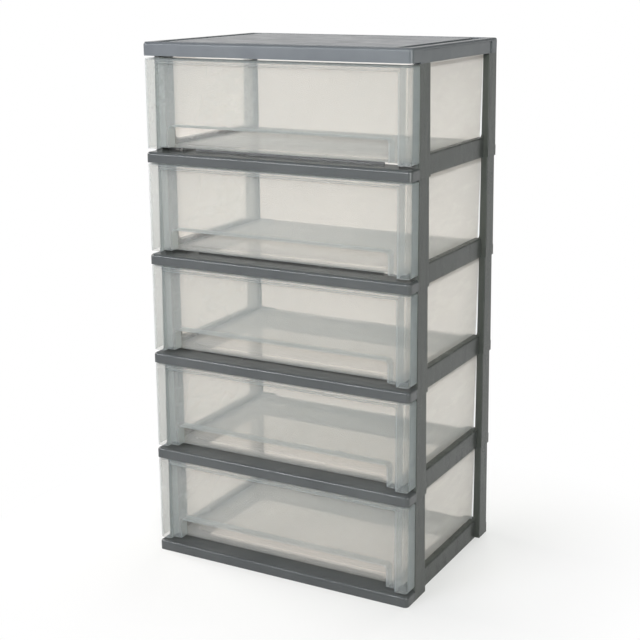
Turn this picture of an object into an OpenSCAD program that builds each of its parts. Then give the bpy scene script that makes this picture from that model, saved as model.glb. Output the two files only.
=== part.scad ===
// Five-drawer plastic storage tower for crafts and small parts.
// Side frames and shelves plug together level by level. A wide tray with a
// clip-on front slides in every level. All sizes in millimetres.
// X is the width, Y the depth with the drawers at the low side, Z the height.

/* [Tower] */
// Overall width over the side frames
tower_w = 556; // [500:1:620]
// Overall depth from the front lips to the rear posts
tower_d = 390; // [350:1:430]
// Height of one level, from one shelf to the next
level_pitch = 198.4; // [175:0.1:225]
// Wall thickness of the frame mouldings
skin = 2.5; // [2:0.1:3]

/* [Top board] */
// Height of the top board
top_h = 28; // [24:0.5:36]
// Radius of its upper edge
top_r = 4.5; // [3:0.5:6]
// Width of the rim, and of the channel inside it, at both sides
rim_side = 16; // [12:1:20]
channel_side = 23; // [14:1:28]
// Width of the rim, and of the channel inside it, in front and behind
rim_front = 14; // [10:1:18]
channel_front = 12; // [8:1:20]
// Depth of the channel
channel_d = 3.2; // [2:0.1:4]
// Radius of the corners of the raised middle
middle_r = 12; // [6:1:20]
// Depth of the recess in both side faces
side_recess = 2; // [1:0.1:2]
// Height of the front skirt's lower edge over the posts
skirt_rise = 2.5; // [0:0.1:4]

/* [Shelf] */
// Height of the front lip of a shelf
lip_h = 20; // [17:0.5:22]
// Radius of the upper edge of the lip
lip_r = 5; // [3:0.5:6]
// Radius of the corners of lips and top board, seen from above
plan_r = 8; // [6.5:0.5:12]
// Depth of the front beam of a shelf
front_beam_d = 57; // [50:1:64]
// Depth of the rear beam of a shelf
rear_beam_d = 71; // [60:1:90]
// Height of the runner ledges that carry a tray
ledge_h = 27; // [25:0.5:29]
// Clear half width between the two runner ledges
ledge_in = 228; // [150:1:232]
// Height of the stop wall over the front beam
stop_h = 4.5; // [3.5:0.1:5]

/* [Side frame] */
// Depth of the front lip in front of the posts
post_y = 34; // [30:1:40]
// Depth of a front post
post_d = 46; // [40:1:54]
// Depth of a rear post
rear_post_d = 39; // [34:1:46]
// Width of a post, seen from the front
post_w = 14.5; // [13.5:0.1:16]
// Thickness of the front and rear flanges of a post
flange_t = 3; // [2.5:0.1:3.5]
// Inward draft of the outer face of a post over its height
draft_x = 1.5; // [0:0.1:1.8]
// Inward draft of the front and rear faces of a post
draft_y = 1; // [0:0.1:1.2]
// Radius of the upright edges of a post
post_r = 2.5; // [1:0.1:3]
// Number of hollows between the cross ribs in a post
bays = 5; // [4:1:6]
// Height of the side rail
rail_h = 37.5; // [34:0.5:44]
// Step from the outer face of the posts in to the rail
rail_step = 9.5; // [8.5:0.1:10]
// Width of the top of the side rail
rail_w = 13.5; // [13:0.1:14]
// Radius of the corners between rail and posts
rail_r = 10; // [5:0.5:14]
// Height of the pegs on the posts
peg_h = 12; // [8:0.5:14]
// Play of every plugged joint
fit = 0.25; // [0.2:0.01:0.3]

/* [Tray] */
// Gap between a tray and its runner ledges
run_gap = 0.3; // [0.3:0.05:0.6]
// Wall thickness of a tray
tray_t = 2.2; // [1.8:0.1:2.6]
// Outward lean of the tray walls over their height
tray_lean = 3.5; // [2:0.1:4]
// Radius of the rear corners of a tray
tray_r = 10; // [8:0.5:16]
// Gap between the tray and the side rails
tray_gap = 1; // [0.6:0.1:1.4]
// Gap between the top of a drawer and the level above
head_gap = 2.4; // [2:0.1:4]
// Overhang of the tray rim beyond its wall
rim_out = 4.5; // [3.5:0.1:4.7]
// Height of the skirt of the tray rim
rim_h = 7.6; // [5:0.1:10]
// Rise of the middle of the tray floor
floor_rise = 2.5; // [1:0.1:3]
// Front edge of the raised middle of the floor
floor_y = 57; // [50:1:70]
// Margin of the raised middle to the runner ledges, and to the rear wall
floor_side = 4; // [3:0.5:10]
floor_rear = 24; // [18:1:40]
// Opening travel of a drawer
travel = 260; // [200:1:262]

/* [Drawer front] */
// Wall thickness of a drawer front
front_t = 2.5; // [2:0.1:3]
// Width of the raised borders at both sides
border_w = 26.5; // [20:0.5:34]
// Height of the raised band at the top
band_h = 9.5; // [7:0.5:16]
// Depth of the recessed middle panel
panel_in = 7.2; // [4:0.1:9]
// Radius of the upper corners of the recess
panel_r = 4; // [3:0.5:8]
// Rounding of the edges of the recess and of the top edge
edge_r = 1.8; // [0.8:0.1:2]
// Half width of the grip opening
grip_w = 230; // [120:1:240]
// Height of the grip opening
grip_h = 42.5; // [34:0.5:56]
// Radius of the upper corners of the grip opening
grip_r = 7; // [3:0.5:14]
// Depth of the whole drawer front
front_d = 32; // [31.5:0.1:32.5]

/* [Hidden] */
$fn = 64;
frame_grey = [0.48, 0.50, 0.51];
tray_milk = [0.86, 0.87, 0.86];

// Half the overall width: the outer face of the posts
hw = tower_w / 2;
// Inner edge of the posts
x_in = hw - post_w;
// Inner face of the outer wall of a post, at its foot
x_web = hw - skin;
// Outer face and inner edge of the side rail
rail_x = hw - rail_step;
rail_in = rail_x - rail_w;
// Front faces of the two posts
rear_y = tower_d - rear_post_d;
// Edge of the shelf beside the posts and beside the rail
shelf_x = x_in - fit;
tongue_x = rail_x - skin - 0.2;
// Peg of a post: width, and its place between the flanges
peg_x0 = x_in + 2.5;
peg_x1 = x_web - 3.5;
peg_in = 11;
// Cross rib thickness
rib_t = 2;
bay_h = (level_pitch - skin - lip_h - bays * rib_t) / bays;
// Tray: half width, its front, rear, lower and upper faces
tray_x = rail_in - tray_gap;
tray_y0 = 30;
tray_y1 = tower_d - 14.5;
tray_z0 = ledge_h + run_gap;
tray_z1 = level_pitch - head_gap;
// Half width and rear edge of the raised middle of the floor
floor_x = ledge_in - floor_side;
floor_y1 = tray_y1 - floor_rear;
// Underside of the roof of a drawer front, where it sits on the tray
roof_z = tray_z1 - front_t;
// Drawer front: front face, half width, bottom, faces of the recess
front_y = 1;
front_x = hw - 1;
front_z = ledge_h;
panel_y = front_y + panel_in;
panel_x = front_x - border_w;
band_z = tray_z1 - band_h;
// Hook of a drawer front over its tray, and the tongues below it: half widths
hook_x = tray_x - 14;
tongue_at = hook_x / 2;
tongue_w = 6;
// Stop rib under the tray, and the stop wall that it meets
stop_y = front_beam_d + travel + 1;
stop_x = ledge_in - 28;

// Box between two opposite corners
module box(a, b) {
    translate(a) cube([b[0] - a[0], b[1] - a[1], b[2] - a[2]]);
}

// Stiffening rib along Y at a place x
module rib_y(x, y0, y1, z0, z1) {
    box([x - rib_t / 2, y0, z0], [x + rib_t / 2, y1, z1]);
}

// A piece and its mirror image on the other side
module both() {
    children();
    mirror([1, 0, 0]) children();
}

// Outline of the waste outside a quarter circle
module waste(r) {
    difference() {
        square([r + 1, r + 1]);
        circle(r = r);
    }
}

// A section swept along the front and both sides, round the front corners
module sweep_u(x, y0, y1, r) {
    translate([-(x - r), y0 + r, 0]) mirror([0, 1, 0]) rotate([90, 0, 90])
        linear_extrude(2 * (x - r)) children();
    both() {
        translate([x - r, y0 + r, 0]) mirror([0, 1, 0]) rotate_extrude(angle = 90) children();
        translate([x - r, y1, 0]) rotate([90, 0, 0]) linear_extrude(y1 - y0 - r) children();
    }
}

// The same, closed behind
module sweep_ring(x, y1, r) {
    sweep_u(x, 0, y1 - r, r) children();
    both() translate([x - r, y1 - r, 0]) rotate_extrude(angle = 90) children();
    translate([-(x - r), y1 - r, 0]) rotate([90, 0, 90]) linear_extrude(2 * (x - r)) children();
}

// Solid section of a lip: upright outer face, rounded upper edge
module lip_solid(h, r) {
    difference() {
        square([plan_r, h]);
        translate([plan_r - r, h - r]) waste(r);
    }
}

// Hollow section of a lip
module lip_section(h, r) {
    difference() {
        lip_solid(h, r);
        difference() {
            translate([-1, -1]) square([plan_r - skin + 1, h - skin + 1]);
            if (r > skin + 0.4) translate([plan_r - r, h - r]) waste(r - skin);
        }
    }
}

// Rectangle from y0 to y1 with two round corners at the y1 side
module tongue_outline(x, y0, y1, r) {
    difference() {
        translate([-x, y0]) square([2 * x, y1 - y0]);
        for (m = [0, 1]) mirror([m, 0]) translate([x - r, y1 - r]) waste(r);
    }
}

// Rectangle with four round corners
module round_outline(x, y0, y1, r) {
    difference() {
        tongue_outline(x, y0, y1, r);
        for (m = [0, 1]) mirror([m, 0]) translate([x - r, y0 + r]) mirror([0, 1]) waste(r);
    }
}

// ---- Side frame (right-hand one, its level starting at Z 0) ----

// Outline of a post at its foot, or drawn in by the draft at its top
module post_outline(y, d, dx, dy) {
    difference() {
        translate([x_in, y + dy]) square([post_w - dx, d - 2 * dy]);
        translate([hw - dx - post_r, y + d - dy - post_r]) waste(post_r);
        translate([hw - dx - post_r, y + dy + post_r]) mirror([0, 1]) waste(post_r);
    }
}

// Inner face of the outer wall at a height
function web_x(z) = x_web - draft_x * (z - lip_h) / (level_pitch - lip_h);

// Channel post, open towards the drawers, with cross ribs, a closed top and a peg
module post(y, d) {
    difference() {
        union() {
            box([x_in, y, 0], [hw, y + d, lip_h]);
            hull() {
                $fn = 32;
                translate([0, 0, lip_h]) linear_extrude(1) post_outline(y, d, 0, 0);
                translate([0, 0, level_pitch - skin]) linear_extrude(skin)
                    post_outline(y, d, draft_x, draft_y);
            }
            box([peg_x0, y + peg_in, level_pitch - 1],
                [peg_x1, y + d - peg_in, level_pitch + peg_h]);
        }
        box([x_in - 1, y + flange_t, -1], [x_web, y + d - flange_t, lip_h]);
        box([x_in - 1, y + flange_t, lip_h - 1],
            [x_in + 1.5, y + d - flange_t, level_pitch - skin]);
        for (i = [0 : bays - 1]) {
            z0 = lip_h + rib_t + i * (bay_h + rib_t);
            z1 = z0 + bay_h;
            translate([0, y + d - flange_t, 0]) rotate([90, 0, 0])
                linear_extrude(d - 2 * flange_t)
                polygon([[x_in - 1, z0], [web_x(z0), z0], [web_x(z1), z1], [x_in - 1, z1]]);
        }
        box([peg_x0 + 2, y + peg_in + 2, level_pitch - skin - 1],
            [peg_x1 - 2, y + d - peg_in - 2, level_pitch + peg_h - 2]);
    }
}

// Channel section of the side rail
module rail_section() {
    difference() {
        translate([rail_in, 0]) square([rail_w, rail_h]);
        translate([rail_x - 3, rail_h - 3]) waste(3);
        translate([rail_in - 1, skin]) square([rail_w - skin + 1, rail_h - 2 * skin]);
        translate([rail_in - 1, -1]) square([4, skin + 2]);
    }
}

// Curved web from the rail up to a post that ends at Y 0
module rail_web() {
    translate([x_in + 0.2, 0, 0]) rotate([90, 0, 90])
        linear_extrude(rail_x - x_in - 0.2) difference() {
            translate([-1.2, rail_h - 1.2]) square([rail_r + 1, rail_r + 1.2]);
            translate([rail_r - 0.2, rail_h + rail_r + 0.2]) circle(r = rail_r);
        }
}

module side_frame() {
    y0 = post_y + post_d;
    post(post_y, post_d);
    post(rear_y, rear_post_d);
    translate([0, rear_y + flange_t, 0]) rotate([90, 0, 0])
        linear_extrude(rear_y - y0 + 2 * flange_t) rail_section();
    translate([0, y0, 0]) rail_web();
    translate([0, rear_y, 0]) mirror([0, 1, 0]) rail_web();
    // Gussets under the top of the rail
    for (i = [1 : 5]) {
        y = y0 + i * (rear_y - y0) / 6;
        box([rail_in + 1, y - 1, ledge_h + 1], [rail_x - skin + 0.5, y + 1, rail_h - skin + 0.5]);
    }
}

// ---- Shelf ----

// Block that fills the foot of a post, with the socket for the peg below
module end_block(y, d) {
    y0 = y + flange_t + fit;
    y1 = y + d - flange_t - fit;
    difference() {
        box([shelf_x - 1, y0, 0], [x_web - fit, y1, lip_h]);
        box([peg_x0 - fit, y + peg_in - fit, -1],
            [peg_x1 + fit, y + d - peg_in + fit, peg_h + 0.5]);
        for (m = [y0 + 2.5, y1 - 5.5])
            box([peg_x0, m, -1], [peg_x1, m + 3, lip_h - skin]);
    }
}

module shelf() {
    y_mid = post_y + post_d + fit;
    y_end = tower_d - 1;
    // Front lip with its returns, and the skin behind it
    sweep_u(hw, 0, post_y, plan_r) lip_section(lip_h, lip_r);
    box([-(hw - plan_r), plan_r, lip_h - skin], [hw - plan_r, post_y, lip_h]);
    box([-shelf_x, post_y - 1, lip_h - skin], [shelf_x, front_beam_d, lip_h]);
    // End walls of the returns, and the ends of the beam between the posts
    both() {
        translate([hw - plan_r, post_y, 0]) rotate([90, 0, 0])
            linear_extrude(skin) lip_solid(lip_h, lip_r);
        box([shelf_x - skin, post_y - skin, 0], [hw - plan_r, post_y, lip_h]);
        box([shelf_x - skin, post_y - 1, 0], [shelf_x, front_beam_d, lip_h]);
    }
    // Rear wall of the front beam, and the ribs inside
    box([-shelf_x, front_beam_d - skin, 0], [shelf_x, front_beam_d, lip_h]);
    for (i = [-4 : 4])
        rib_y(i * shelf_x / 4.5, 1, front_beam_d - 1, 3, lip_h - 1);
    // Stop wall for the trays
    box([-stop_x, front_beam_d - skin, lip_h - 1], [stop_x, front_beam_d, lip_h + stop_h]);
    // Side beams: ledge, inner wall, outer wall, tongue in the rail, ribs
    both() {
        box([ledge_in, front_beam_d - skin, ledge_h - skin], [shelf_x, y_end, ledge_h]);
        box([ledge_in, front_beam_d - skin, 0], [ledge_in + skin, y_end, ledge_h]);
        box([ledge_in, front_beam_d - skin, 0], [shelf_x - skin, front_beam_d, ledge_h]);
        box([shelf_x - skin, front_beam_d - skin, skin + fit], [shelf_x, y_end, ledge_h]);
        box([shelf_x - 1, y_mid, ledge_h - skin], [tongue_x, rear_y - fit, ledge_h]);
        box([tongue_x - skin, y_mid, skin], [tongue_x, rear_y - fit, ledge_h]);
        for (i = [1 : 5]) {
            y = y_mid + i * (rear_y - y_mid) / 6;
            box([ledge_in + 1, y - 1, skin + fit], [shelf_x - 1, y + 1, ledge_h - 1]);
        }
        end_block(post_y, post_d);
        end_block(rear_y, rear_post_d);
    }
    // Rear beam
    y_rb = y_end - rear_beam_d;
    box([-ledge_in - 1, y_rb, lip_h - skin], [ledge_in + 1, y_end, lip_h]);
    box([-ledge_in - 1, y_rb, 0], [ledge_in + 1, y_rb + skin, lip_h]);
    box([-ledge_in - 1, y_end - skin, 0], [ledge_in + 1, y_end, lip_h]);
    both() box([ledge_in + 1, y_end - skin, 0], [shelf_x, y_end, ledge_h]);
    for (i = [-3 : 3])
        rib_y(i * ledge_in / 4, y_rb + 1, y_end - 1, 3, lip_h - 1);
}

// ---- Top board, its level starting at Z 0 ----

// Outline of the channel's outer edge, or of the raised middle inside it, grown by g
module rim_outline(g) {
    round_outline(hw - rim_side + g, rim_front - g, tower_d - rim_front + g, middle_r + g);
}

module middle_outline(g) {
    x = hw - rim_side - channel_side + g;
    y0 = rim_front + channel_front - g;
    round_outline(x, y0, tower_d - y0, middle_r + g);
}

// Column with the socket for a peg
module top_socket(y, d) {
    y1 = y + d - 4;
    difference() {
        box([x_in - 1, y + 1.5, 0], [hw - skin + 0.5, y1, top_h - 1]);
        box([peg_x0 - fit, y + peg_in - fit, -1],
            [peg_x1 + fit, y + d - peg_in + fit, peg_h + 0.5]);
        for (m = [y + 4, y1 - 5]) box([peg_x0, m, -1], [peg_x1, m + 2.5, top_h - 9]);
    }
}

module top() {
    // Ends of the recess in a side face
    side_y0 = post_y + 7;
    side_y1 = rear_y + 9;
    difference() {
        union() {
            sweep_ring(hw, tower_d, plan_r) lip_section(top_h, top_r);
            box([-(hw - plan_r), plan_r, top_h - skin],
                [hw - plan_r, tower_d - plan_r, top_h]);
            // Floor and walls of the channel
            translate([0, 0, top_h - channel_d - skin]) linear_extrude(channel_d + skin - 0.5)
                difference() {
                    rim_outline(skin);
                    middle_outline(-skin);
                }
            both() {
                box([hw - 2 * skin, side_y0 - 3, 0],
                    [hw - skin + 0.5, side_y1 + 3, top_h - top_r]);
                top_socket(post_y, post_d);
                top_socket(rear_y, rear_post_d);
            }
            for (i = [-3 : 3]) rib_y(i * hw / 4, 1, tower_d - 1, 8, top_h - 1);
            for (y = [post_y + 9, tower_d / 2, rear_y - 4])
                box([-(hw - 1 - skin), y - rib_t / 2, 8], [hw - 1 - skin, y + rib_t / 2, top_h - 1]);
        }
        translate([0, 0, top_h - channel_d]) linear_extrude(channel_d + 1) difference() {
            rim_outline(0);
            middle_outline(0);
        }
        both() box([hw - side_recess, side_y0, -1], [hw + 1, side_y1, top_h - top_r - 0.5]);
        // The front skirt ends above the drawer
        box([-hw - 1, -1, -1], [hw + 1, post_y, skirt_rise]);
    }
}

// ---- Tray ----

// Section of a tray wall with its rim, from the centre of the corner radius out
module tray_section() {
    zf = tray_z1 - tray_t;
    rx = tray_r + tray_lean + rim_out;
    polygon([
        [tray_r, tray_z0],
        [tray_r + tray_lean, zf],
        [rx - tray_t, zf],
        [rx - tray_t, tray_z1 - rim_h],
        [rx, tray_z1 - rim_h],
        [rx, tray_z1],
        [tray_r + tray_lean - tray_t, tray_z1],
        [tray_r - tray_t, tray_z0]
    ]);
}

module tray() {
    x1 = tray_x + tray_lean * (roof_z - tray_z0) / (tray_z1 - tray_t - tray_z0);
    difference() {
        union() {
            translate([0, tray_y1, 0]) mirror([0, 1, 0])
                sweep_u(tray_x, 0, tray_y1 - tray_y0, tray_r) tray_section();
            translate([0, tray_y0 + tray_t, 0]) rotate([90, 0, 0]) linear_extrude(tray_t)
                polygon([[-tray_x + 1, tray_z0], [tray_x - 1, tray_z0],
                    [x1 - 1, roof_z], [1 - x1, roof_z]]);
            translate([0, 0, tray_z0]) linear_extrude(tray_t)
                tongue_outline(tray_x - 1, tray_y0 + 1, tray_y1 - 1, tray_r - 1);
        }
        // Room for the roof of the drawer front
        box([-hw, tray_y0 - 1, roof_z], [hw, tray_y0 + tray_t + 0.3, tray_z1 + 1]);
        // Hollow under the raised middle of the floor
        translate([0, 0, tray_z0 - 1]) linear_extrude(tray_t + 2)
            round_outline(floor_x - tray_t, floor_y + tray_t, floor_y1 - tray_t, tray_r - tray_t);
        // Slots for the tongues of the drawer front
        for (x = [-tongue_at, tongue_at])
            box([x - tongue_w - fit, tray_y0 - 1, front_z + grip_h - fit],
                [x + tongue_w + fit, tray_y0 + tray_t + 1, front_z + grip_h + 2 + fit]);
    }
    // Raised middle of the floor
    translate([0, 0, tray_z0 + tray_t]) linear_extrude(floor_rise)
        round_outline(floor_x, floor_y, floor_y1, tray_r);
    // Stiffening ribs and the stop rib below the floor
    for (x = [-ledge_in / 3, ledge_in / 3])
        rib_y(x, floor_y + 1, floor_y1 - 1, tray_z0, tray_z0 + tray_t + 0.5);
    box([-stop_x, stop_y, lip_h + stop_h - 2], [stop_x, stop_y + 3, tray_z0 + tray_t + 0.5]);
}

// ---- Drawer front ----

// Outline of the grip opening, grown by g, in the XZ plane
module grip_outline(g) {
    z0 = front_z - 5;
    tongue_outline(grip_w + g, z0, front_z + grip_h + g, grip_r + g);
}

// Stands an outline of the XZ plane up and gives it a depth from y0 to y1
module upright(y0, y1) {
    translate([0, y1, 0]) rotate([90, 0, 0]) linear_extrude(y1 - y0) children();
}

// Recess of the middle panel, open below, with rounded edges
module panel_recess() {
    upright(0, panel_y) tongue_outline(panel_x, front_z - 1, band_z, panel_r);
    translate([0, 0, band_z]) rotate([90, 0, 0]) mirror([0, 1, 0])
        sweep_u(panel_x, 0, band_z - front_z + 1, panel_r)
        translate([panel_r + edge_r, -(front_y + edge_r)]) mirror([1, 0]) waste(edge_r);
}

module drawer_front() {
    yb = front_y + front_d;
    difference() {
        // Envelope: round corners from above, small radii seen from the front
        intersection() {
            translate([0, 0, front_z]) linear_extrude(tray_z1 - front_z)
                translate([0, yb]) mirror([0, 1]) tongue_outline(front_x, 0, front_d, 8);
            upright(0, yb + 1) round_outline(front_x, front_z, tray_z1, 4);
        }
        panel_recess();
        // Rounded top edge
        translate([-hw, front_y + edge_r, tray_z1 - edge_r]) rotate([90, 0, 90])
            linear_extrude(2 * hw) mirror([1, 0]) waste(edge_r);
        // Hollow behind the skin, keeping the walls of the recess
        difference() {
            translate([0, 0, front_z - 1]) linear_extrude(roof_z - front_z + 1)
                translate([0, yb + 1]) mirror([0, 1])
                tongue_outline(front_x - front_t, 0, front_d + 1 - front_t, 8 - front_t);
            box([-panel_x - front_t, -1, front_z - 2],
                [panel_x + front_t, panel_y + front_t, band_z + front_t]);
        }
        // Grip opening, and the lower end of the panel
        upright(panel_y - 1, panel_y + front_t + 1) grip_outline(0);
        box([-panel_x, 0, front_z - 1], [panel_x, panel_y + front_t + 1, front_z + 2.5]);
        // The roof reaches back over the tray wall only
        box([-hw, tray_y0 + tray_t, roof_z - 1], [hw, yb + 1, tray_z1 + 1]);
    }
    // Lining of the grip pocket, back to the tray wall
    difference() {
        upright(panel_y + 1, tray_y0) difference() {
            grip_outline(2);
            grip_outline(0);
        }
        box([-hw, 0, front_z - 10], [hw, yb, front_z + 2.5]);
    }
    // Side webs, back to the tray wall
    both() box([panel_x, panel_y + 1, front_z + 2.5], [panel_x + front_t, tray_y0, roof_z + 0.5]);
    // Hook over the tray wall
    y_h = tray_y0 + tray_t + 0.2;
    y_b = y_h + tray_t;
    box([-hook_x, tray_y0, roof_z], [hook_x, y_b, tray_z1]);
    box([-hook_x, y_h, roof_z - 3.5], [hook_x, y_b, roof_z + 0.5]);
    // Two snap tongues through the tray wall
    z_t = front_z + grip_h;
    for (x = [-tongue_at, tongue_at]) {
        box([x - tongue_w, tray_y0 - 1, z_t], [x + tongue_w, y_b, z_t + 2]);
        box([x - tongue_w, y_h, z_t], [x + tongue_w, y_b, z_t + 3.2]);
    }
}

// ---- The separate pieces, each in its place ----

module at_level(k) {
    translate([0, -tower_d / 2, (k - 1) * level_pitch]) children();
}

module top_board() { color(frame_grey) at_level(6) top(); }

module shelf_1() { color(frame_grey) at_level(1) shelf(); }
module shelf_2() { color(frame_grey) at_level(2) shelf(); }
module shelf_3() { color(frame_grey) at_level(3) shelf(); }
module shelf_4() { color(frame_grey) at_level(4) shelf(); }
module shelf_5() { color(frame_grey) at_level(5) shelf(); }

module side_right_1() { color(frame_grey) at_level(1) side_frame(); }
module side_right_2() { color(frame_grey) at_level(2) side_frame(); }
module side_right_3() { color(frame_grey) at_level(3) side_frame(); }
module side_right_4() { color(frame_grey) at_level(4) side_frame(); }
module side_right_5() { color(frame_grey) at_level(5) side_frame(); }

module side_left_1() { mirror([1, 0, 0]) side_right_1(); }
module side_left_2() { mirror([1, 0, 0]) side_right_2(); }
module side_left_3() { mirror([1, 0, 0]) side_right_3(); }
module side_left_4() { mirror([1, 0, 0]) side_right_4(); }
module side_left_5() { mirror([1, 0, 0]) side_right_5(); }

module tray_1() { color(tray_milk) at_level(1) tray(); }
module tray_2() { color(tray_milk) at_level(2) tray(); }
module tray_3() { color(tray_milk) at_level(3) tray(); }
module tray_4() { color(tray_milk) at_level(4) tray(); }
module tray_5() { color(tray_milk) at_level(5) tray(); }

module front_1() { color(tray_milk) at_level(1) drawer_front(); }
module front_2() { color(tray_milk) at_level(2) drawer_front(); }
module front_3() { color(tray_milk) at_level(3) drawer_front(); }
module front_4() { color(tray_milk) at_level(4) drawer_front(); }
module front_5() { color(tray_milk) at_level(5) drawer_front(); }

top_board();
shelf_1();
shelf_2();
shelf_3();
shelf_4();
shelf_5();
side_left_1();
side_left_2();
side_left_3();
side_left_4();
side_left_5();
side_right_1();
side_right_2();
side_right_3();
side_right_4();
side_right_5();
tray_1();
tray_2();
tray_3();
tray_4();
tray_5();
front_1();
front_2();
front_3();
front_4();
front_5();
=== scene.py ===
"""Looks of the plastic drawer tower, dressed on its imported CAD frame.

Every shape is the CAD part's. This script gives the grey frame mouldings and
the milky drawers their plastics, and sets the camera, the floor and the light.
Lengths are in metres, angles in degrees and colours linear, unless a comment
says otherwise.
"""
import math

import bpy
from mathutils import Matrix, Vector


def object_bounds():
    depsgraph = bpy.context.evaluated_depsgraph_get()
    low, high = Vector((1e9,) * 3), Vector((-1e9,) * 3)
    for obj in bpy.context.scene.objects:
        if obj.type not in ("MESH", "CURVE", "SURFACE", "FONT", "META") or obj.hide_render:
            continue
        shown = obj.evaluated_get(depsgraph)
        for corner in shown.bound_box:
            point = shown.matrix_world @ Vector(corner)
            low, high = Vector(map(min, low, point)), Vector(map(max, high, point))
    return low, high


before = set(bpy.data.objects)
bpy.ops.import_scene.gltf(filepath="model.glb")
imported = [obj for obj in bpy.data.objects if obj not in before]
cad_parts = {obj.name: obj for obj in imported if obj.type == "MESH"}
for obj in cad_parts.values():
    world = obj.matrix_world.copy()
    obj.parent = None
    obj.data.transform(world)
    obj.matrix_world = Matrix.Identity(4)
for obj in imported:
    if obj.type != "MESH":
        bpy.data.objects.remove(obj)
cad_low, cad_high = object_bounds()

# Camera, as solved from the corners of the photographed tower. The offsets lead
# from the middle of the tower's front to the optical axis.
AZIMUTH = 28.86
ELEVATION = 13.28
ROLL = -0.37
DISTANCE = 2.437
OFFSET_RIGHT = 0.086
OFFSET_UP = 0.081
# Side of the photograph, focal length and shift of the frame, in its pixels
PHOTO_SIDE = 640
FOCAL_LENGTH = 1313.6
FRAME_SHIFT = -40
# Width of the camera's sensor in millimetres
SENSOR = 36.0


def make_camera():
    """The photograph's camera, placed round the middle of the tower's front."""
    a, e, r = (math.radians(v) for v in (AZIMUTH, ELEVATION, ROLL))
    back = Vector((math.sin(a) * math.cos(e), -math.cos(a) * math.cos(e), math.sin(e)))
    right = Vector((math.cos(a), math.sin(a), 0))
    up = back.cross(right)
    side = math.cos(r) * right + math.sin(r) * up
    top = -math.sin(r) * right + math.cos(r) * up
    front_middle = Vector((0, cad_low.y, (cad_low.z + cad_high.z) / 2))
    data = bpy.data.cameras.new("camera")
    data.sensor_width = SENSOR
    data.lens = FOCAL_LENGTH / PHOTO_SIDE * SENSOR
    data.shift_y = FRAME_SHIFT / PHOTO_SIDE
    camera = bpy.data.objects.new("camera", data)
    turn = Matrix((side, top, back)).transposed().to_4x4()
    place = front_middle + OFFSET_RIGHT * side + OFFSET_UP * top + DISTANCE * back
    camera.matrix_world = Matrix.Translation(place) @ turn
    bpy.context.scene.collection.objects.link(camera)
    bpy.context.scene.camera = camera


# Where the values of one noise, and of two noises added up, mostly lie
NOISE_BAND = (0.3, 0.7)
NOISE_PAIR_BAND = (0.7, 1.3)


class Nodes:
    """Short-hand for building a material's node tree."""

    def __init__(self, name):
        self.material = bpy.data.materials.new(name)
        self.material.use_nodes = True
        self.tree = self.material.node_tree
        self.tree.nodes.clear()
        self.output = self.add("ShaderNodeOutputMaterial")

    def add(self, kind, **settings):
        node = self.tree.nodes.new(kind)
        for name, value in settings.items():
            setattr(node, name, value)
        return node

    def link(self, source, target):
        self.tree.links.new(source, target)

    def put(self, socket, value):
        """Sets a socket to a plain value, or links another socket to it."""
        if isinstance(value, bpy.types.NodeSocket):
            self.link(value, socket)
        else:
            socket.default_value = value

    def math(self, operation, a, b=0.0):
        node = self.add("ShaderNodeMath", operation=operation)
        self.put(node.inputs[0], a)
        self.put(node.inputs[1], b)
        return node.outputs[0]

    def place(self, stretch=(1, 1, 1)):
        """The point in the row frame, its axes multiplied by stretch."""
        coord = self.add("ShaderNodeTexCoord")
        mapping = self.add("ShaderNodeMapping")
        mapping.inputs["Scale"].default_value = stretch
        self.link(coord.outputs["Object"], mapping.inputs["Vector"])
        return mapping.outputs[0]

    def axes(self, vector):
        """The three parts of a vector, by the names of their axes."""
        split = self.add("ShaderNodeSeparateXYZ")
        self.link(vector, split.inputs[0])
        return split.outputs

    def noise(self, scale, stretch=(1, 1, 1), detail=2.0):
        node = self.add("ShaderNodeTexNoise")
        self.link(self.place(stretch), node.inputs["Vector"])
        node.inputs["Scale"].default_value = scale
        node.inputs["Detail"].default_value = detail
        return node.outputs[0]

    def spread(self, value, band, low, high):
        """Maps a value from a band to the range between two limits, and holds it there."""
        node = self.add("ShaderNodeMapRange")
        self.put(node.inputs["Value"], value)
        for name, number in (("From Min", band[0]), ("From Max", band[1]),
                             ("To Min", low), ("To Max", high)):
            node.inputs[name].default_value = number
        return node.outputs[0]

    def blend(self, factor, a, b):
        """A colour between two colours; 6, 7 and 2 are the node's colour sockets."""
        node = self.add("ShaderNodeMix", data_type="RGBA")
        self.put(node.inputs[0], factor)
        self.put(node.inputs[6], a)
        self.put(node.inputs[7], b)
        return node.outputs[2]

    def mix(self, factor, a, b):
        """A shader between two shaders."""
        node = self.add("ShaderNodeMixShader")
        self.put(node.inputs[0], factor)
        self.link(a, node.inputs[1])
        self.link(b, node.inputs[2])
        return node.outputs[0]

    def bump(self, height, strength, distance, normal=None):
        node = self.add("ShaderNodeBump")
        node.inputs["Strength"].default_value = strength
        node.inputs["Distance"].default_value = distance
        self.link(height, node.inputs["Height"])
        if normal:
            self.link(normal, node.inputs["Normal"])
        return node.outputs[0]


PLASTIC_IOR = 1.49

# Grey mouldings. Noise scales are per metre; a bump is its strength and its height.
CLOUD_SCALE = 9.0
CLOUD_DETAIL = 4.0
CLOUD_BUMP = (0.2, 0.0006)
STREAK_SCALE = 20.0
STREAK_STRETCH = (1, 1, 0.3)
SWELL_SCALE = 16.0
SWELL_STRETCH = (0.15, 1, 0.3)
SWELL_STRENGTH = 0.5
GRAIN_SCALE = 1400.0
GRAIN_BUMP = (0.10, 0.00012)
ROUGH_SPAN = 0.07
# Sink marks, at the pitch that the photograph shows on the lips, and half their width
SINK_PITCH = 0.096
SINK_HALF = 0.004
SINK_BUMP = (0.35, 0.0004)


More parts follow.
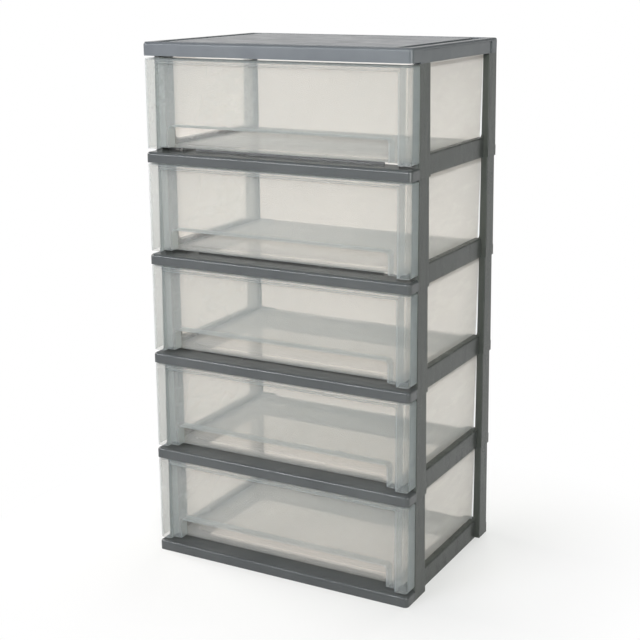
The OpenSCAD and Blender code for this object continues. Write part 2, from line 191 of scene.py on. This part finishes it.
def frame_plastic(name, dark, light, swelling, shine, rough):
    """Grey injection-moulded polypropylene: satin, finely grained, faintly mottled,
    with long swells and narrow sink marks across its width.

    swelling is the height of the swells, shine the specular level and rough the
    lower end of the roughness.
    """
    n = Nodes(name)
    shader = n.add("ShaderNodeBsdfPrincipled")
    cloud = n.noise(CLOUD_SCALE, detail=CLOUD_DETAIL)
    streak = n.noise(STREAK_SCALE, STREAK_STRETCH)
    swell = n.noise(SWELL_SCALE, SWELL_STRETCH)
    grain = n.noise(GRAIN_SCALE)
    across = n.axes(n.place())["X"]
    sink = n.spread(n.math("PINGPONG", across, SINK_PITCH / 2), (0.0, SINK_HALF), 0.0, 1.0)
    waves = n.bump(cloud, *CLOUD_BUMP)
    waves = n.bump(swell, SWELL_STRENGTH, swelling, waves)
    waves = n.bump(sink, *SINK_BUMP, waves)
    n.link(n.bump(grain, *GRAIN_BUMP, waves), shader.inputs["Normal"])
    n.link(n.blend(n.spread(cloud, NOISE_BAND, 0.0, 1.0), dark, light),
           shader.inputs["Base Color"])
    n.link(n.spread(n.math("ADD", streak, grain), NOISE_PAIR_BAND, rough, rough + ROUGH_SPAN),
           shader.inputs["Roughness"])
    shader.inputs["IOR"].default_value = PLASTIC_IOR
    shader.inputs["Specular IOR Level"].default_value = shine
    n.link(shader.outputs[0], n.output.inputs["Surface"])
    return n.material


# Milky drawers
MILK_CLOUD_SCALE = 5.0
MILK_CLOUD_DETAIL = 3.0
MILK_BUMP = (0.06, 0.0008)
MILK_FLOW_SCALE = 14.0
MILK_FLOW_STRETCH = (1, 1, 3.0)
MILK_GRAIN_SCALE = 900.0
MILK_ROUGH = (0.20, 0.32)
# The edge colour sets in at this share of turning away and is full at a right angle
EDGE_BAND = (0.6, 1.0)
EDGE_ON_COSINE = 0.02
# Tint of what is seen through one face of a wall
CLEAR = (1.0, 0.978, 0.953, 1)


def drawer_plastic(name, dark, light, edge, depth, onward):
    """Milky polypropylene: a bluish haze over dark things, faintly warm over bright ones.

    The haze covers more where the wall is seen edge-on; depth is its optical depth
    for one face of a wall, and onward the share that it scatters on through the wall.
    """
    n = Nodes(name)
    shader = n.add("ShaderNodeBsdfPrincipled")
    cloud = n.noise(MILK_CLOUD_SCALE, detail=MILK_CLOUD_DETAIL)
    flow = n.noise(MILK_FLOW_SCALE, MILK_FLOW_STRETCH)
    grain = n.noise(MILK_GRAIN_SCALE)
    turned = n.add("ShaderNodeLayerWeight").outputs["Facing"]
    milk = n.blend(n.spread(cloud, NOISE_BAND, 0.0, 1.0), dark, light)
    colour = n.blend(n.spread(turned, EDGE_BAND, 0.0, 1.0), milk, edge)
    n.link(colour, shader.inputs["Base Color"])
    n.link(n.spread(n.math("ADD", flow, grain), NOISE_PAIR_BAND, *MILK_ROUGH),
           shader.inputs["Roughness"])
    n.link(n.bump(cloud, *MILK_BUMP), shader.inputs["Normal"])
    shader.inputs["IOR"].default_value = PLASTIC_IOR
    through = n.add("ShaderNodeBsdfTranslucent")
    n.link(colour, through.inputs["Color"])
    body = n.mix(onward, shader.outputs[0], through.outputs[0])
    cosine = n.math("MAXIMUM", n.math("SUBTRACT", 1.0, turned), EDGE_ON_COSINE)
    left = n.math("EXPONENT", n.math("DIVIDE", -depth, cosine))
    clear = n.add("ShaderNodeBsdfTransparent")
    clear.inputs["Color"].default_value = CLEAR
    n.link(n.mix(left, body, clear.outputs[0]), n.output.inputs["Surface"])
    return n.material


def dress(start, material):
    """Gives a material to every node whose name starts so."""
    for name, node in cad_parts.items():
        if name.startswith(start):
            node.data.materials.clear()
            node.data.materials.append(material)


# Dark, light and edge colour of the haze, its optical depth, share scattered onward
FRONT_MILK = ((0.63, 0.71, 0.75, 1), (0.71, 0.78, 0.82, 1), (0.58, 0.62, 0.63, 1), 0.225, 0.5)
TRAY_MILK = ((0.87, 0.92, 0.95, 1), (0.93, 0.96, 0.98, 1), (0.78, 0.84, 0.87, 1), 0.165, 0.5)

# Dark and light colour, height of the swells, specular level, lower end of the roughness
# The side frames are the same plastic as the shelves; their grey is painted greener for the warm
# light that falls on the right-hand faces.
SIDE_GREY_PAINTED_WARM = ((0.085, 0.093, 0.090, 1), (0.102, 0.111, 0.106, 1), 0.0001, 0.2, 0.24)
SHELF_GREY = ((0.083, 0.090, 0.095, 1), (0.103, 0.111, 0.115, 1), 0.0002, 0.4, 0.15)
# The top board is the same plastic as the shelves; its grey is painted lighter for the stronger
# light that falls at the top of the tower.
TOP_GREY_PAINTED_LIGHT = ((0.138, 0.152, 0.170, 1), (0.179, 0.194, 0.211, 1), 0.0012, 0.19, 0.19)


def dress_tower():
    dress("front_", drawer_plastic("front_plastic", *FRONT_MILK))
    dress("tray_", drawer_plastic("tray_plastic", *TRAY_MILK))
    dress("side_", frame_plastic("frame_plastic", *SIDE_GREY_PAINTED_WARM))
    dress("shelf_", frame_plastic("shelf_plastic", *SHELF_GREY))
    dress("top_board", frame_plastic("top_plastic_painted_light", *TOP_GREY_PAINTED_LIGHT))


WHITE = (1, 1, 1, 1)
FLOOR_HALF = 8.0
# The floor lies a little under the tower's feet, so that no two faces coincide
FLOOR_DROP = 0.0002
FLOOR_GREY = (0.90, 0.90, 0.90, 1)
# How far from the tower the floor shows its shadow, and how much of it at the foot
SHADOW_REACH = 0.40
SHADOW_SHARE = 0.50


def backdrop_share(n, region=1.0):
    """1 for rays that see the white backdrop: the camera's, and mirrored ones in the region."""
    path = n.add("ShaderNodeLightPath").outputs
    mirrored = n.math("MAXIMUM", path["Is Glossy Ray"], path["Is Transmission Ray"])
    return n.math("MAXIMUM", path["Is Camera Ray"], n.math("MULTIPLY", mirrored, region))


def distance_from_tower(n):
    """Distance on the floor from the tower's footprint."""
    point = n.axes(n.place())
    squares = []
    for axis, half in (("X", cad_high.x), ("Y", cad_high.y)):
        past = n.math("SUBTRACT", n.math("ABSOLUTE", point[axis]), half)
        squares.append(n.math("POWER", n.math("MAXIMUM", past, 0.0), 2.0))
    return n.math("SQRT", n.math("ADD", *squares))


def make_floor():
    """Plain white floor: lit and shadowed near the tower, all white further out."""
    mesh = bpy.data.meshes.new("floor")
    h = FLOOR_HALF
    mesh.from_pydata([(-h, -h, 0), (h, -h, 0), (h, h, 0), (-h, h, 0)], [], [(0, 1, 2, 3)])
    floor = bpy.data.objects.new("floor", mesh)
    bpy.context.scene.collection.objects.link(floor)
    floor.location.z = cad_low.z - FLOOR_DROP
    n = Nodes("floor_white")
    matt = n.add("ShaderNodeBsdfDiffuse")
    matt.inputs["Color"].default_value = FLOOR_GREY
    white = n.add("ShaderNodeEmission")
    white.inputs["Color"].default_value = WHITE
    white.inputs["Strength"].default_value = 1.0
    share = n.spread(distance_from_tower(n), (0.0, SHADOW_REACH), 1.0 - SHADOW_SHARE, 1.0)
    n.link(n.mix(n.math("MULTIPLY", share, backdrop_share(n)), matt.outputs[0], white.outputs[0]),
           n.output.inputs["Surface"])
    mesh.materials.append(n.material)


STUDIO_GREY = (0.05, 0.05, 0.05, 1)
# The mirrored backdrop: between these values of a direction's y it comes in from the
# front to the back, and between these values of its z it fades out
BACKDROP_IN = (-0.3, 0.3)
BACKDROP_OUT = (0.0, 0.42)


class WorldNodes(Nodes):
    """The same short-hand for the world's node tree."""

    def __init__(self, name):
        self.world = bpy.data.worlds.new(name)
        self.world.use_nodes = True
        self.tree = self.world.node_tree
        self.tree.nodes.clear()
        self.output = self.add("ShaderNodeOutputWorld")

    def background(self, colour):
        node = self.add("ShaderNodeBackground")
        node.inputs["Color"].default_value = colour
        return node.outputs[0]


def make_world():
    """A dim grey studio for the light, plain white for the camera and for mirrored rays
    that leave to the back at a low angle."""
    n = WorldNodes("studio")
    ray = n.axes(n.add("ShaderNodeTexCoord").outputs["Generated"])
    behind = n.spread(ray["Y"], BACKDROP_IN, 0.0, 1.0)
    low = n.spread(ray["Z"], BACKDROP_OUT, 1.0, 0.0)
    share = backdrop_share(n, n.math("MULTIPLY", behind, low))
    n.link(n.mix(share, n.background(STUDIO_GREY), n.background(WHITE)),
           n.output.inputs["Surface"])
    bpy.context.scene.world = n.world


# Name, place, target, width and height, power in watts, colour, and whether the lamp
# shows in matt faces only, as a shine only, or in both ways
LAMPS = [
    ("key", (-0.75, -2.1, 1.7), (0, 0, 0.75), (1.1, 0.8), 27, (0.90, 0.90, 1.0), "matt"),
    ("right", (1.3, -1.9, 1.8), (0, 0, 0.7), (0.8, 0.6), 38, (0.96, 0.98, 0.88), "matt"),
    ("left", (-1.8, 0.0, 1.5), (0, 0, 0.8), (0.8, 1.0), 30, (1.0, 0.96, 0.90), "both"),
    ("back", (0.0, 1.9, 1.5), (0, 0, 0.6), (1.6, 1.4), 35, (0.98, 1.0, 1.0), "matt"),
    ("brow", (-0.7, -1.6, 1.15), (0, -0.2, 0.5), (1.6, 0.14), 30, (0.95, 0.97, 1.0), "shine"),
    ("strip", (1.75, -1.0, 1.1), (0.28, -0.19, 0.8), (0.9, 1.2), 34, (1, 1, 1), "shine"),
]


def make_lamp(name, place, target, size, power, colour, shows):
    """A soft rectangular lamp aimed at its target, itself never seen by the camera."""
    data = bpy.data.lights.new(name, "AREA")
    data.shape = "RECTANGLE"
    data.size, data.size_y = size
    data.energy = power
    data.color = colour
    lamp = bpy.data.objects.new(name, data)
    lamp.location = place
    lamp.visible_camera = False
    lamp.visible_glossy = shows != "matt"
    lamp.visible_diffuse = shows != "shine"
    aim = Vector(target) - Vector(place)
    lamp.rotation_euler = aim.to_track_quat("-Z", "Y").to_euler()
    bpy.context.scene.collection.objects.link(lamp)


make_camera()
make_world()
make_floor()
for lamp in LAMPS:
    make_lamp(*lamp)
dress_tower()

scene = bpy.context.scene
scene.view_settings.view_transform = "Standard"
# Enough for rays through many milky walls one behind the other
scene.cycles.transparent_max_bounces = 32
scene.cycles.diffuse_bounces = 8
